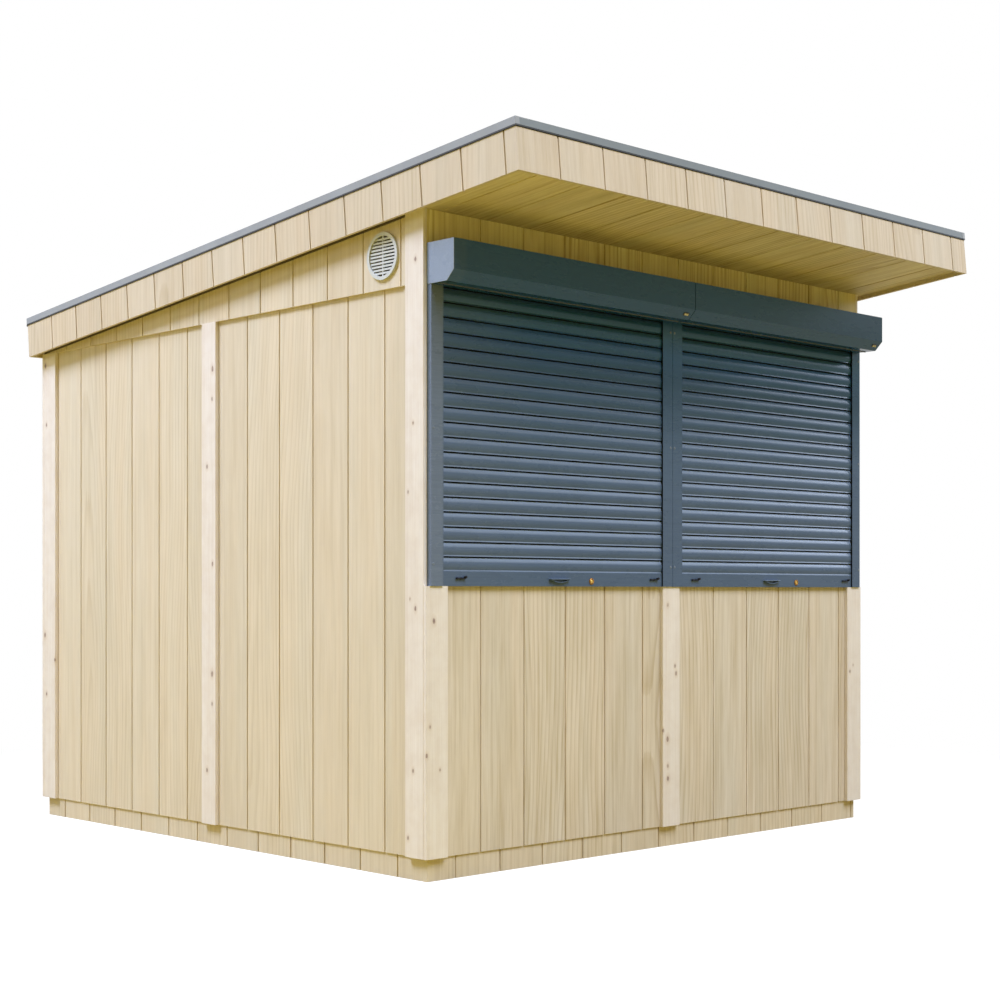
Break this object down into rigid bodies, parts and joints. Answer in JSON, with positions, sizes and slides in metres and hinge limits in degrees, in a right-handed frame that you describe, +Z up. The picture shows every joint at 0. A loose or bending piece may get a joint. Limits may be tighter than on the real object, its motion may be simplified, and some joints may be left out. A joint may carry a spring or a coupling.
{
  "type": "wooden market hut with two roller shutters",
  "caption": "Small lean-to market hut of grooved pine sheet, with grey roller shutters across the serving front and a round vent in the gable.",
  "frame": {"origin": "on the ground, in the middle of the plinth's footprint, on the underside of the middle floor joist", "axes": "+X to the right along the serving front, +Y from the front to the back, +Z up"},
  "size_m": [2.521, 3.113, 2.4352],
  "materials": {
    "pine_sheet": "matt, fine grain",
    "pine_trim": "planed, matt",
    "frame_timber": "sawn",
    "floor_board": "matt",
    "roof_felt": "matt",
    "edge_metal": "satin",
    "drip_metal": "satin",
    "shutter_metal": "satin",
    "black_plastic": "satin",
    "lock_brass": "polished",
    "vent_plastic": "satin",
    "steel_fitting": "satin"
  },
  "bodies": {
    "root": {"front_and_back_plinths": "pine_sheet", "side_plinths": "pine_sheet", "front_lower_wall": "pine_sheet", "front_header_panel": "pine_sheet", "front_stiles": "pine_sheet", "left_wall": "pine_sheet", "right_wall": "pine_sheet", "back_wall": "pine_sheet", "left_gable": "pine_sheet", "right_gable": "pine_sheet", "rear_door": "pine_sheet", "soffit": "pine_sheet", "front_fascia": "pine_sheet", "back_fascia": "pine_sheet", "side_fascias": "pine_sheet", "front_trims": "pine_trim", "left_trims": "pine_trim", "right_trims": "pine_trim", "back_trims": "pine_trim", "floor_joists": "frame_timber", "corner_posts": "frame_timber", "middle_posts": "frame_timber", "wall_rails": "frame_timber", "gable_frames": "frame_timber", "rear_door_frame": "frame_timber", "rafters": "frame_timber", "roof_deck": "frame_timber", "floor_deck": "floor_board", "roof_membrane": "roof_felt", "front_edge_metal": "edge_metal", "side_edge_metal": "edge_metal", "back_drip_edge": "drip_metal", "left_shutter_box": "shutter_metal", "right_shutter_box": "shutter_metal", "left_shutter_guides": "shutter_metal", "right_shutter_guides": "shutter_metal", "left_shutter_curtain": "shutter_metal", "right_shutter_curtain": "shutter_metal", "shutter_bottom_bars": "shutter_metal", "shutter_handles": "shutter_metal", "shutter_bolts": "black_plastic", "shutter_locks": "lock_brass", "vent_grilles": "vent_plastic", "rear_door_hinges": "steel_fitting", "rear_door_handle": "steel_fitting"}
  },
  "joints": []
}
